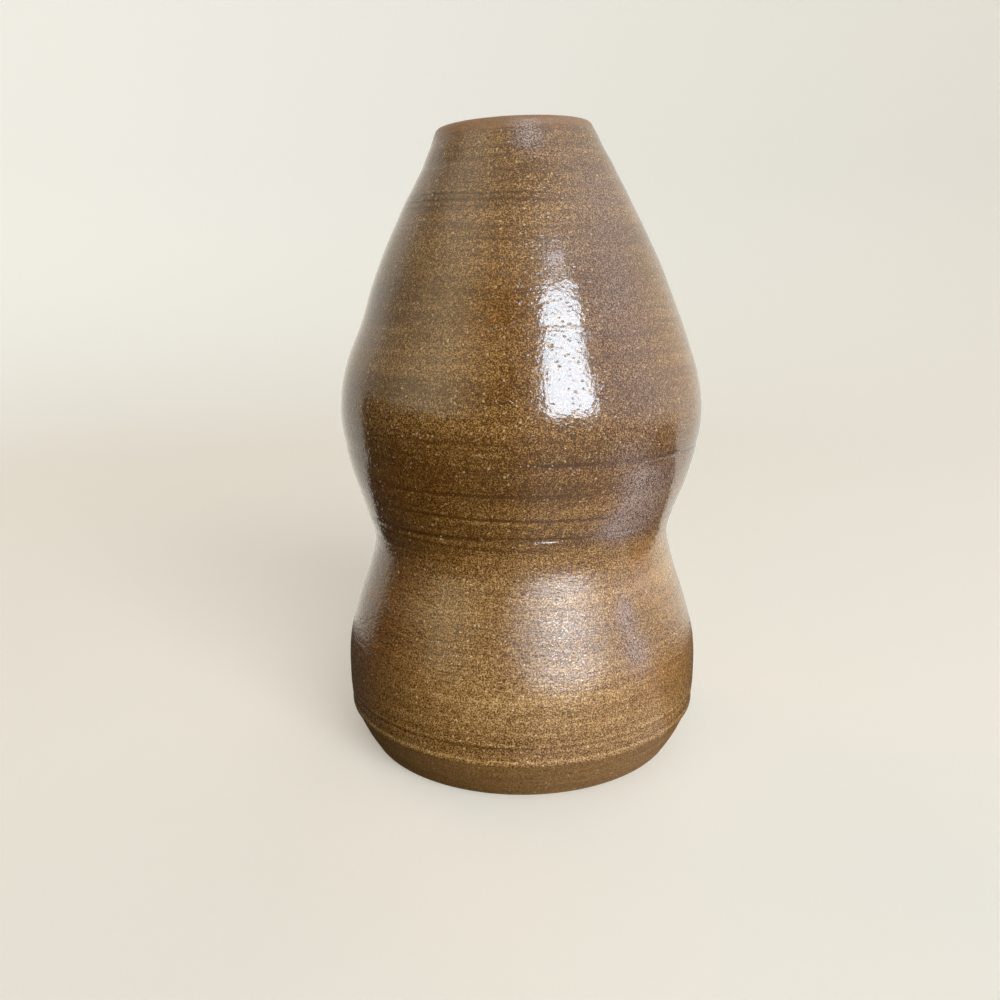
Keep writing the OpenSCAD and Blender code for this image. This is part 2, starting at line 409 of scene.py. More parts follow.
@dataclass(frozen=True)
class Throwing:
    """What the potter's hands left on the wall: marks, rings, a slight lean, a tilted mouth."""

    marks: tuple[Mark, ...] = (
        # Finger marks above the waist, seen from the front
        Mark(118.4, 0.12, 7.5),
        Mark(119.2, 0.26, 2.2, 38.0, 48.0, -0.016, 0.05, 0.75),
        Mark(108.9, 0.22, 1.6, -20.0, 44.0, 0.012, 0.10, 0.5),
        Mark(108.0, 0.10, 6.0, 30.0, 60.0, -0.02),
        Mark(100.4, 0.34, 2.8, -4.0, 48.0, -0.016, 0.08, 0.7),
        Mark(92.8, 0.50, 3.6, -24.0, 48.0, 0.004, 0.08, 0.8),
        Mark(93.0, 0.30, 2.6, 22.0, 36.0, -0.006, 0.06, 0.5),
        Mark(89.4, 0.20, 2.2, -20.0, 44.0, -0.022, 0.05, 0.45),
        Mark(85.6, 0.30, 4.0, -38.0, 40.0, 0.035),
        Mark(126.0, 0.10, 5.0, -20.0, 70.0),
        # The same hands on the far side
        Mark(109.8, 0.28, 3.4, 140.0, 84.0, -0.010, 0.06, 0.5),
        Mark(101.2, 0.34, 3.4, -150.0, 96.0, 0.006, 0.06, 0.6),
        Mark(93.4, 0.40, 3.8, 150.0, 100.0, -0.008, 0.06, 0.7),
        Mark(86.2, 0.26, 4.2, -160.0, 80.0, 0.010),
        # A shallow ring and its crease on the shoulder, which break the window's reflection
        Mark(163.6, 0.060, 5.0, 10.0, 80.0, 0.01),
        Mark(163.4, 0.014, 1.6, 14.0, 20.0),
        # Shallow rings on the shoulder and the neck
        Mark(179.6, 0.05, 4.0, 0.0, 120.0),
        Mark(189.0, 0.03, 4.0, 60.0, 120.0, 0.01),
        Mark(209.0, 0.04, 5.0, -60.0, 130.0, 0.01),
        Mark(221.5, 0.05, 7.0),
        # Thin lines that the rib left on the neck
        Mark(204.8, 0.08, 1.2, -30.0, 50.0, 0.0, 0.03, 0.6),
        Mark(202.6, 0.10, 1.2, -26.0, 56.0, 0.0, 0.04, 0.75),
        Mark(200.6, 0.05, 1.2, -34.0, 44.0, 0.0, 0.02, 0.45),
        Mark(211.6, 0.04, 1.6, 0.0, 60.0, 0.004, 0.0, 0.3),
        Mark(216.4, 0.03, 2.0, -44.0, 50.0, 0.004, 0.0, 0.3),
    )
    groove_height: float = 21.8
    groove_depth: float = 0.3
    groove_width: float = 2.4
    glaze_line: float = 15.0
    hollow_depth: float = 0.15
    turned_lines: tuple[Point, ...] = ((23.7, -0.50), (22.3, 0.32), (18.5, 0.14), (17.1, -0.50))
    turned_line_reach: float = 0.85
    lean: tuple[Point, ...] = (
        (76.0, 0.0), (90.0, -0.9), (105.0, -0.5), (122.0, -0.3), (150.0, -0.3), (161.0, 0.0),
        (177.0, -0.6), (195.0, -1.0), (207.0, -1.3), (215.0, -1.6), (223.0, -2.4), (230.0, -3.0),
    )
    mouth_tilt: float = 0.049
    tilt_from: float = 200.0
    top: float = 230.0
    fine_ring: tuple[Point, ...] = (
        (60.0, 0.013), (84.0, 0.008), (104.0, 0.004), (170.0, 0.003), (215.0, 0.006),
    )
    rings_per_mm: float = 0.62
    ring_spread: float = 0.9
    ring_share: float = 1.6
    finer_rings_per_mm: float = 1.3
    finer_ring_spread: float = 1.6
    finer_ring_share: float = 0.9
    wave_length: float = 48.0
    wave_spread: float = 0.8
    uneven: float = 0.14

    def turning(self, height: float) -> float:
        """Works out what the turning tool cut away.

        Args:
            height: Height on the wall.

        Returns:
            The depth of the tool's groove and of the hollow band under it.
        """
        off = height - self.groove_height
        groove = self.groove_depth * rounded_bump(off / (self.groove_width / 2.0))
        middle = (self.glaze_line + self.groove_height) / 2.0
        half = (self.groove_height - self.glaze_line) / 2.0
        return groove + self.hollow_depth * rounded_bump((height - middle) / half)

    def turned_stain(self, height: float) -> float:
        """Returns how dark the glaze lies in the tool's rings; pale ridges are negative."""
        return sum(strength * rounded_bump((height - at) / self.turned_line_reach)
                   for at, strength in self.turned_lines)

    def fine_rings(self, angle: float, height: float, rise: float) -> float:
        """Works out the fine rings that sponge and rib leave, and the wall's slight waves.

        Args:
            angle: Angle round the pot.
            height: Height on the wall.
            rise: How strong the fine rings are there, in millimetres.

        Returns:
            Their depth there.
        """
        turn = math.radians(angle)
        around = Vector((math.cos(turn), math.sin(turn), 0.0))
        # Each noise starts at a place of its own, so that the three don't follow each other
        ring_place = Vector((0.0, 0.0, height * self.rings_per_mm))
        finer_place = Vector((7.0, 3.0, height * self.finer_rings_per_mm))
        wave_place = Vector((2.0, 9.0, height / self.wave_length))
        ring = noise.noise(around * self.ring_spread + ring_place)
        finer = noise.noise(around * self.finer_ring_spread + finer_place)
        wave = noise.noise(around * self.wave_spread + wave_place)
        return rise * (self.ring_share * ring + self.finer_ring_share * finer) + self.uneven * wave

    def settled(self, place: Vector) -> Vector:
        """Leans a point with the wall and tilts it with the mouth; all three layers share this.

        Args:
            place: A point of the true turned form, in millimetres.

        Returns:
            The point on the pot as it came off the wheel.
        """
        rise = eased((place.z - self.tilt_from) / (self.top - self.tilt_from))
        across = table_value(self.lean, place.z)
        return Vector((place.x + across, place.y, place.z + rise * self.mouth_tilt * place.x))


@dataclass
class Lathe:
    """Turns profiles into meshes, and presses the throwing marks into them."""

    outline: Outline
    throwing: Throwing
    wall: float = 5.0
    pole_gap: float = 0.002
    calm_height: float = 3.0
    doublings: int = 4
    pooled_share: float = 0.35

    def turned(self, profile: list[Vector], closed: bool, steps: int) -> bmesh.types.BMesh:
        """Draws a profile, spins a wedge of it, and doubles the wedge into a full turn.

        Args:
            profile: Points of radius and height, in millimetres.
            closed: True for a ring-shaped skin, false for one with both ends on the axis.
            steps: Segments of the full turn.

        Returns:
            The mesh, in millimetres, with its seams and poles closed.
        """
        mesh = drawn(profile)
        if closed:
            mesh.edges.new((mesh.verts[-1], mesh.verts[0]))
        wedges = 2 ** self.doublings
        spun(mesh, math.tau / wedges, steps // wedges, merged=False)
        for doubling in range(self.doublings):
            copy = bmesh.ops.duplicate(mesh, geom=mesh.verts[:] + mesh.edges[:] + mesh.faces[:])
            turn = Matrix.Rotation(math.tau / wedges * 2 ** doubling, 3, "Z")
            points = [part for part in copy["geom"] if isinstance(part, bmesh.types.BMVert)]
            bmesh.ops.rotate(mesh, cent=(0.0, 0.0, 0.0), matrix=turn, verts=points)
        bmesh.ops.remove_doubles(mesh, verts=mesh.verts[:], dist=self.pole_gap)
        bmesh.ops.recalc_face_normals(mesh, faces=mesh.faces[:])
        return mesh

    def outer_share(self, radius: float, height: float) -> float:
        """Returns 1 on the outside of the wall and 0 on its inside, with an easy change."""
        reach = self.outline.radius(height) - self.wall * 0.5
        return eased((radius - reach) / (self.wall * 0.5)) * eased(height / self.calm_height)

    def pressed(self, mesh: bmesh.types.BMesh, fields: bool) -> None:
        """Presses the marks into a mesh, lets it lean, and brings it to metres.

        Args:
            mesh: The turned mesh, in millimetres.
            fields: True to keep the glaze's fields on the points.
        """
        layers = {kind: mesh.verts.layers.float.new(kind.value) for kind in Field} if fields else {}
        rings: dict[Point, list[bmesh.types.BMVert]] = {}
        for vert in mesh.verts:
            radius = math.hypot(vert.co.x, vert.co.y)
            rings.setdefault((round(radius, 2), round(vert.co.z, 2)), []).append(vert)
        for (radius, height), verts in rings.items():
            share = self.outer_share(radius, height)
            near = [mark for mark in self.throwing.marks if share > 0.0 and mark.touches(height)]
            patches = {kind: [patch for patch in every if patch.touches(height)]
                       for kind, every in PATCHES.items()}
            turning = self.throwing.turning(height)
            rise = table_value(self.throwing.fine_ring, height)
            ring_stain = self.throwing.turned_stain(height)
            for vert in verts:
                angle = math.degrees(math.atan2(vert.co.x, -vert.co.y))
                marks = sum(mark.depth_at(angle, height) for mark in near)
                if layers:
                    shares = {kind: sum(patch.share_at(angle, height) for patch in some)
                              for kind, some in patches.items()}
                    stains = sum(mark.stain_at(angle, height) for mark in near)
                    # The pooling field also carries painted shade, and painted light where
                    # negative, beside the glaze that pools in the marks
                    pools_and_shading = shares.pop(Field.POOLING_AND_SHADING)
                    vert[layers[Field.RING_HEIGHT]] = height * MM
                    vert[layers[Field.POOLING_AND_SHADING]] = (self.pooled_share * marks + stains
                                                   + ring_stain + pools_and_shading)
                    for kind, strength in shares.items():
                        vert[layers[kind]] = min(1.0, strength)
                if share > 0.0:
                    fine = self.throwing.fine_rings(angle, height, rise)
                    depth = share * (marks + turning + fine)
                    vert.co.xy *= (radius - depth) / radius
                vert.co = self.throwing.settled(vert.co) * MM

    def finished(self, mesh: bmesh.types.BMesh, name: str, slot: Slot,
                 material: bpy.types.Material, node: str) -> bpy.types.Object:
        """Makes a smooth-shaded piece of a mesh, on the part's body and in place of its solid.

        Args:
            mesh: The finished mesh, in metres; it is freed here.
            name: Name of the new object.
            slot: Material slot of the record; not used.
            material: The finish to wear.
            node: Name of the solid that it stands for.

        Returns:
            The new object.
        """
        for face in mesh.faces:
            face.smooth = True
        made = dressed(mesh, name, material)
        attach(made, BODY)
        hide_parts(node)
        LOG.info("%s: %d points, %d faces", name, len(made.data.vertices), len(made.data.polygons))
        return made


@dataclass
class Wall:
    """Sizes that the three layers share, in millimetres, and the paths drawn from them."""

    outline: Outline
    lip: float = 3.2
    foot_wall: float = 5.6
    clay_top: float = 229.5
    floor: float = 9.5
    corner: float = 14.0
    ring_pitch: float = 9.0
    ring_depth: float = 0.6
    ring_fade: float = 24.0
    lap: float = 7.0
    lip_segments: int = 14
    corner_segments: int = 10
    floor_shares: tuple[float, ...] = (0.66, 0.33, 0.0)
    top: float = field(init=False)
    lip_side: Vector = field(init=False)
    lip_middle: Vector = field(init=False)

    def __post_init__(self) -> None:
        """Finds where the wall ends and the half-round lip starts."""
        half = self.lip / 2.0
        self.top = self.clay_top - half * (1.0 - self.outline.side(self.clay_top - half).y)
        self.lip_side = self.outline.side(self.top)
        self.lip_middle = self.outline.point(self.top) - self.lip_side * half

    @property
    def lap_height(self) -> float:
        """Returns the height where the outer coat ends inside the mouth."""
        return self.top - self.lap

    @property
    def corner_height(self) -> float:
        """Returns the height where the inner wall starts above its corner."""
        return self.floor + self.corner

    def thickness(self, height: float) -> float:
        """Works out the clay wall's thickness, with the rings that the fingers left inside.

        Args:
            height: Height on the wall.

        Returns:
            The thickness there.
        """
        up, down = height - self.corner_height, self.top - height
        even = self.lip + (self.foot_wall - self.lip) * down / (self.top - self.corner_height)
        rings = self.ring_depth / 2.0 * math.cos(math.tau * up / self.ring_pitch)
        return even - rings * (eased(up / self.ring_fade) * eased(down / self.ring_fade))

    def inner(self, height: float, coat: float) -> Vector:
        """Returns the inner wall's point at a height, under a coat of a given thickness."""
        inward = self.outline.side(height) * (self.thickness(height) + coat)
        return self.outline.point(height) - inward

    def inner_run(self, start: float, end: float, step: float, coat: float) -> list[Vector]:
        """Returns the inner wall's points between two heights, with both ends, under a coat."""
        return [self.inner(height, coat) for height in [*walked(start, end, step), end]]

    def lip_arc(self, coat: float) -> list[Vector]:
        """Draws the half-round lip.

        Args:
            coat: Thickness of the coat that lies on it.

        Returns:
            Its points, from outside to inside.
        """
        along = Vector((-self.lip_side.y, self.lip_side.x))
        reach = self.lip / 2.0 + coat
        turns = [math.pi * index / self.lip_segments for index in range(self.lip_segments + 1)]
        return [self.lip_middle + reach * (math.cos(turn) * self.lip_side + math.sin(turn) * along)
                for turn in turns]

    def bowl(self, coat: float) -> list[Vector]:
        """Draws the inner corner and the floor.

        Args:
            coat: Thickness of the coat that lies on them.

        Returns:
            Their points, down to the axis.
        """
        above = self.inner(self.corner_height, coat)
        floor = self.floor + coat
        reach = above.y - floor
        centre = Vector((above.x - reach, above.y))
        turns = [math.pi / 2.0 * index / self.corner_segments
                 for index in range(1, self.corner_segments + 1)]
        arc = [centre + reach * Vector((math.cos(turn), -math.sin(turn))) for turn in turns]
        return arc + [Vector((arc[-1].x * share, floor)) for share in self.floor_shares]


@dataclass
class Layer(ABC):
    """One layer of the vase, which is turned from a profile of its own."""

    wall: Wall
    lathe: Lathe
    steps: int = 256

    name: ClassVar[str]
    slot: ClassVar[Slot]
    node: ClassVar[str]
    closed: ClassVar[bool] = False
    keeps_fields: ClassVar[bool] = False

    @abstractmethod
    def profile(self) -> list[Vector]:
        """Returns the layer's profile as points of radius and height, in millimetres."""

    def soften(self, mesh: bmesh.types.BMesh) -> None:
        """Rounds the layer's sharp edges, where it has any."""

    def build(self, material: bpy.types.Material) -> bpy.types.Object:
        """Turns the layer, presses the marks into it, and sets it on the body.

        Args:
            material: Finish of the layer.

        Returns:
            The layer's object.
        """
        mesh = self.lathe.turned(self.profile(), closed=self.closed, steps=self.steps)
        self.soften(mesh)
        self.lathe.pressed(mesh, fields=self.keeps_fields)
        return self.lathe.finished(mesh, self.name, self.slot, material, self.node)


@dataclass
class ThrownClay(Layer):
    """The fired clay: turned foot, foot band, wall, lip, inner wall and floor, in one piece."""

    name: ClassVar[str] = "thrown_clay"
    slot: ClassVar[Slot] = Slot.CLAY
    node: ClassVar[str] = "clay_body"
    recess: float = 2.5
    ring_width: float = 9.0
    recess_draft: float = 2.0
    edge_reach: float = 0.9
    edge_segments: int = 4
    edge_slack: Point = (0.4, 0.01)
    band_start: float = 2.0
    band_step: float = 0.5
    turned_top: float = 24.0
    turned_step: float = 0.8
    wall_step: float = 3.0

    def under(self) -> list[Vector]:
        """Draws the underside of the foot.

        Returns:
            Its points: the recess from its middle outwards, and the foot ring.
        """
        foot = self.wall.outline.radius(0.0)
        ring = foot - self.ring_width
        return [Vector((0.0, self.recess)), Vector((ring * 0.5, self.recess)),
                Vector((ring - self.recess_draft, self.recess)), Vector((ring, 0.0)),
                Vector((foot, 0.0))]

    def profile(self) -> list[Vector]:
        """Draws the clay: its underside, its outside, the lip, its inside and its floor.

        Returns:
            The profile from the middle of the underside to the middle of the floor.
        """
        wall = self.wall
        heights = paced(self.band_start, (self.lathe.throwing.glaze_line, self.band_step),
                        (self.turned_top, self.turned_step), (wall.top, self.wall_step))
        outside = [wall.outline.point(height) for height in heights]
        inside = wall.inner_run(wall.top, wall.corner_height, self.wall_step, 0.0)[1:]
        return self.under() + outside + wall.lip_arc(0.0) + inside + wall.bowl(0.0)

    def soften(self, mesh: bmesh.types.BMesh) -> None:
        """Rounds the circles where the foot ring turns, in and out of its recess.

        Args:
            mesh: The turned clay, in millimetres.
        """
        corners = self.under()[2:]
        rims = [edge for edge in mesh.edges
                if any(self.on_circle(edge, corner) for corner in corners)]
        bmesh.ops.bevel(mesh, geom=rims, offset=self.edge_reach, offset_type="OFFSET",
                        affect="EDGES", segments=self.edge_segments, profile=0.5, material=-1)

    def on_circle(self, edge: bmesh.types.BMEdge, corner: Vector) -> bool:
        """Returns true for an edge of the circle that a corner of the profile draws."""
        wide_slack, tall_slack = self.edge_slack
        return all(abs(math.hypot(vert.co.x, vert.co.y) - corner.x) < wide_slack
                   and abs(vert.co.z - corner.y) < tall_slack for vert in edge.verts)


@dataclass
class SpeckledCoat(Layer):
    """The outer glaze, from its rolled edge over both bulbs and the lip into the mouth."""

    name: ClassVar[str] = "speckled_coat"
    slot: ClassVar[Slot] = Slot.GLAZE
    node: ClassVar[str] = "outer_glaze"
    closed: ClassVar[bool] = True
    keeps_fields: ClassVar[bool] = True
    thickness: float = 0.5
    roll: float = 0.85
    roll_height: float = 2.0
    roll_segments: int = 6
    runs: tuple[Point, ...] = (
        (24.8, 0.35), (84.0, 0.86), (122.0, 0.5), (160.0, 1.15), (167.0, 0.35), (200.0, 1.1),
        (206.0, 0.4),
    )
    neck_step: float = 0.95
    lap_step: float = 1.4
    back_lap_step: float = 2.3
    back_step: float = 4.5

    def coat(self, height: float) -> float:
        """Works out the coat's thickness: a rolled edge, then an even coat.

        Args:
            height: Height on the wall.

        Returns:
            The thickness there.
        """
        up = (height - self.lathe.throwing.glaze_line) / (self.roll_height / 2.0)
        if up < 1.0:
            return self.roll * math.sqrt(max(0.0, up * (2.0 - up)))
        return self.thickness + (self.roll - self.thickness) * (1.0 - eased((up - 1.0) / 2.0))

    def face(self) -> list[Vector]:
        """Draws the coat's outer face.

        Returns:
            Its points, from the glaze line to the coat's end inside the mouth.
        """
        wall, outline = self.wall, self.wall.outline
        start, half = self.lathe.throwing.glaze_line, self.roll_height / 2.0
        heights = [start + half * (1.0 - math.cos(math.pi / 2.0 * index / self.roll_segments))
                   for index in range(1, self.roll_segments)]
        heights += paced(start + half, *self.runs, (wall.top, self.neck_step))
        outside = [outline.point(height) + outline.side(height) * self.coat(height)
                   for height in heights]
        inside = wall.inner_run(wall.top, wall.lap_height, self.lap_step, self.thickness)[1:]
        return outside + wall.lip_arc(self.thickness) + inside

    def back(self) -> list[Vector]:
        """Draws the coat's face against the clay.

        Returns:
            Its points, from inside the mouth back to the glaze line.
        """
        wall, glaze_line = self.wall, self.lathe.throwing.glaze_line
        inside = wall.inner_run(wall.lap_height, wall.top, self.back_lap_step, 0.0)[:-1]
        heights = [*walked(wall.top, glaze_line, self.back_step)[1:], glaze_line]
        outside = [wall.outline.point(height) for height in heights]
        return inside + wall.lip_arc(0.0)[::-2] + outside

    def profile(self) -> list[Vector]:
        """Returns the coat's profile, all the way round its skin."""
        return self.face() + self.back()


@dataclass
class PouredLining(Layer):
    """The glaze lining of the inside, which meets the outer coat inside the mouth."""

    name: ClassVar[str] = "poured_lining"
    slot: ClassVar[Slot] = Slot.LINER
    node: ClassVar[str] = "liner_glaze"
    steps: int = 192
    thickness: float = 0.4
    wall_step: float = 1.8

    def path(self, coat: float) -> list[Vector]:
        """Draws one face of the lining.

        Args:
            coat: How far it lies off the clay.

        Returns:
            Its points, from the mouth to the middle of the floor.
        """
        wall = self.wall
        run = wall.inner_run(wall.lap_height, wall.corner_height, self.wall_step, coat)
        return run + wall.bowl(coat)

    def profile(self) -> list[Vector]:
        """Returns the lining's profile, up against the clay and down its own face."""
        return self.path(0.0)[::-1] + self.path(self.thickness)


@dataclass(frozen=True)
class Reading:
    """How a finish reads one value of the grain: the range that counts, and what it becomes."""

    grain: str
    low: float
    high: float
    start: float
    end: float


@dataclass
class Bench:
    """Lays nodes on a node tree and links them, so that a finish reads as a list of steps."""

    tree: bpy.types.NodeTree

    def feed(self, node: bpy.types.Node, feeds: dict) -> None:
        """Fills a node's sockets.

        Args:
            node: The node.
            feeds: What goes into its sockets, by name or place: a socket, or a plain value.
        """
        for key, value in feeds.items():
            if isinstance(value, Socket):
                self.tree.links.new(value, node.inputs[key])
            else:
                node.inputs[key].default_value = value

    def lay(self, kind: str, feeds: dict | None = None, **settings: object) -> bpy.types.Node:
        """Adds a node.

        Args:
            kind: Blender's name for the node.
            feeds: What goes into its sockets, by name or place: a socket, or a plain value.
            **settings: Properties of the node itself.

        Returns:
            The new node.
        """
        made = self.tree.nodes.new(kind)
        for name, value in settings.items():
            setattr(made, name, value)
        self.feed(made, feeds or {})
        return made

    def sum(self, operation: str, *values: Socket | float, clamp: bool = False) -> Socket:
        """Works out one step of arithmetic on up to three values."""
        feeds = dict(enumerate(values))
        return self.lay("ShaderNodeMath", feeds, operation=operation, use_clamp=clamp).outputs[0]

    def span(self, value: Socket, low: float, high: float,
             start: float = 0.0, end: float = 1.0) -> Socket:
        """Turns a value's range into another one, smoothly and held at both ends."""
        feeds = {"Value": value, "From Min": low, "From Max": high, "To Min": start, "To Max": end}
        return self.lay("ShaderNodeMapRange", feeds, interpolation_type="SMOOTHSTEP").outputs[0]

    def read(self, grains: dict[str, Socket], reading: Reading) -> Socket:
        """Returns what a finish makes of one value of the grain."""
        return self.span(grains[reading.grain], reading.low, reading.high, reading.start,
                         reading.end)

    def gathered(self, grains: dict[str, Socket], readings: tuple[Reading, ...]) -> Socket:
        """Adds up several readings of the grain.

        Args:
            grains: The grain's values, by name.
            readings: How each is read.

        Returns:
            Their sum.
        """
        total = self.read(grains, readings[0])
        for reading in readings[1:]:
            total = self.sum("ADD", total, self.read(grains, reading))
        return total

    def blend(self, share: Socket | float, base: Socket | Tone, over: Socket | Tone) -> Socket:
        """Mixes two colours by a share."""
        feeds = {0: share, 6: self.tone(base), 7: self.tone(over)}
        return self.lay("ShaderNodeMix", feeds, data_type="RGBA").outputs[2]

    def tone(self, colour: Socket | Tone) -> Socket | tuple[float, float, float, float]:
        """Returns a colour in the form that a socket takes."""
        return colour if isinstance(colour, Socket) else (*colour, 1.0)

    def noise(self, place: Socket, scale: float, detail: float, rough: float) -> Socket:
        """Returns a noise value at a place, with a scale in features per metre."""
        feeds = {"Vector": place, "Scale": scale, "Detail": detail, "Roughness": rough}
        return self.lay("ShaderNodeTexNoise", feeds).outputs["Fac"]

    def stretched(self, place: Socket, scale: Place) -> Socket:
        """Returns a place stretched along its axes."""
        return self.lay("ShaderNodeVectorMath", {0: place, 1: scale},
                        operation="MULTIPLY").outputs[0]

    def cells(self, place: Socket, scale: float) -> tuple[Socket, dict[str, Socket]]:
        """Lays cells, as the specks, dots and pits of the grain need them.

        Args:
            place: Where to look.
            scale: Cells per metre.

        Returns:
            The distance from a cell's middle, and three random values of the cell, by colour.
        """
        made = self.lay("ShaderNodeTexVoronoi", {"Vector": place, "Scale": scale}, feature="F1")
        parts = self.lay("ShaderNodeSeparateColor", {"Color": made.outputs["Color"]})
        return made.outputs["Distance"], dict(parts.outputs.items())

    def bumped(self, relief: Socket) -> Socket:
        """Returns the surface's direction under a relief in millimetres."""
        feeds = {"Strength": 1.0, "Distance": MM, "Height": relief}
        return self.lay("ShaderNodeBump", feeds).outputs[0]


@dataclass(frozen=True)
class StonewareGrain:
    """The grain that clay, glaze and lining share: mottle, specks, rings of tone, a rough skin.

    Scales are in features per metre, ranges run from the value that gives 0 to the one that
    gives 1 or back, and picks say which of the cells are chosen.
    """

    jolt_scale: float = 1900.0
    jolt_reach: Place = (0.0008, 0.0008, 0.0008)
    speck_scale: float = 780.0
    speck_sizes: Point = (0.08, 0.32)
    speck_pick: Point = (0.72, 0.94)
    dot_scale: float = 1750.0
    dot_range: Point = (0.16, 0.52)
    dot_pick: Point = (0.30, 1.0)
    pit_scale: Place = (520.0, 520.0, 880.0)
    pit_range: Point = (0.05, 0.40)
    pit_pick: Point = (0.50, 0.80)
    mottle_range: Point = (0.30, 0.70)
    blot_range: Point = (0.36, 0.62)
    ring_scale: Place = (16.0, 16.0, 560.0)
    band_scale: Place = (7.0, 7.0, 120.0)
    ripple_scale: Place = (330.0, 330.0, 1250.0)

    def group(self) -> bpy.types.NodeTree:
        """Builds the grain's node group.

        Returns:
            The group. It takes a place, a place whose height is the throwing ring's, and a
            fineness, and puts out values from 0 to 1.
        """
        tree = bpy.data.node_groups.new("stoneware_grain", "ShaderNodeTree")
        for name, kind in (("Place", "NodeSocketVector"), ("Ring Place", "NodeSocketVector"),
                           ("Fineness", "NodeSocketFloat")):
            tree.interface.new_socket(name=name, in_out="INPUT", socket_type=kind)
        bench = Bench(tree)
        given = bench.lay("NodeGroupInput").outputs
        ring = given["Ring Place"]
        scaled = bench.lay("ShaderNodeVectorMath", {0: given["Place"], 3: given["Fineness"]},
                           operation="SCALE").outputs[0]
        jolt = bench.lay("ShaderNodeTexNoise", {"Vector": scaled, "Scale": self.jolt_scale,
                                                "Detail": 1.0}).outputs["Color"]
        shaken = bench.lay("ShaderNodeVectorMath", {0: jolt, 1: self.jolt_reach, 2: scaled},
                           operation="MULTIPLY_ADD").outputs[0]
        speck_off, speck = bench.cells(shaken, self.speck_scale)
        dot_off, dot = bench.cells(shaken, self.dot_scale)
        pit_off, pit = bench.cells(bench.stretched(shaken, self.pit_scale), 1.0)
        speck_size = bench.span(speck["Blue"], 0.0, 1.0, *self.speck_sizes)
        made = {
            "Mottle": bench.span(bench.noise(scaled, scale=2100.0, detail=2.0, rough=0.7),
                                 *self.mottle_range),
            "Dots": bench.sum("MULTIPLY", bench.span(dot_off, *self.dot_range, 1.0, 0.0),
                              bench.span(dot["Red"], *self.dot_pick)),
            "Blots": bench.span(bench.noise(scaled, scale=520.0, detail=3.0, rough=0.7),
                                *self.blot_range),
            "Specks": bench.sum("MULTIPLY", bench.sum("LESS_THAN", speck_off, speck_size),
                                bench.span(speck["Red"], *self.speck_pick)),
            "Rings": bench.noise(bench.stretched(ring, self.ring_scale),
                                 scale=1.0, detail=4.0, rough=0.72),
            "Bands": bench.noise(bench.stretched(ring, self.band_scale),
                                 scale=1.0, detail=2.0, rough=0.55),
            "Skin": bench.noise(scaled, scale=820.0, detail=2.0, rough=0.6),
            "Peel": bench.noise(scaled, scale=420.0, detail=1.0, rough=0.5),
            "Ripples": bench.noise(bench.stretched(ring, self.ripple_scale),
                                   scale=1.0, detail=1.0, rough=0.5),
            "Pits": bench.sum("MULTIPLY", bench.span(pit_off, *self.pit_range, 1.0, 0.0),
                              bench.span(pit["Green"], *self.pit_pick)),
        }
        for name in made:
            tree.interface.new_socket(name=name, in_out="OUTPUT", socket_type="NodeSocketFloat")
        bench.lay("NodeGroupOutput", made)
        return tree


def grained(bench: Bench, grain: bpy.types.NodeTree, place: Socket, ring: Socket,
            fineness: float) -> dict[str, Socket]:
    """Places the shared grain in a material.

    Args:
        bench: Bench on the material's nodes.
        grain: The shared grain group.
        place: Place on the piece.
        ring: The same place, with the height of its throwing ring.
        fineness: How much finer than usual the grain is.

    Returns:
        The grain's values, by name.
    """
    feeds = {"Place": place, "Ring Place": ring, "Fineness": fineness}
    return dict(bench.lay("ShaderNodeGroup", feeds, node_tree=grain).outputs.items())


def new_material(name: str) -> tuple[bpy.types.Material, Bench, bpy.types.Node]:
    """Starts a material.

    Args:
        name: Name of the material.

    Returns:
        The material, a bench on its nodes, and its shader.
    """
    made = bpy.data.materials.new(name)
    made.use_nodes = True
    made.node_tree.nodes.clear()
    bench = Bench(made.node_tree)
    shader = bench.lay("ShaderNodeBsdfPrincipled")
    bench.lay("ShaderNodeOutputMaterial", {"Surface": shader.outputs[0]})
    return made, bench, shader


@dataclass(frozen=True)
class GlazeSurface:
    """What the glaze's finish reads of the coat, on a bench for its material's nodes.

    These are the grain's values by name, what was left on the points (the wheel's marks, the
    glaze's patches, and painted shade, painted light and painted reflections), and two masks: 1 on
    the low bulb and 0 above it, and 1 on the lip and 0 under it.
    """

    bench: Bench
    grains: dict[str, Socket]
    fields: dict[Field, Socket]
    low: Socket
    mouth: Socket


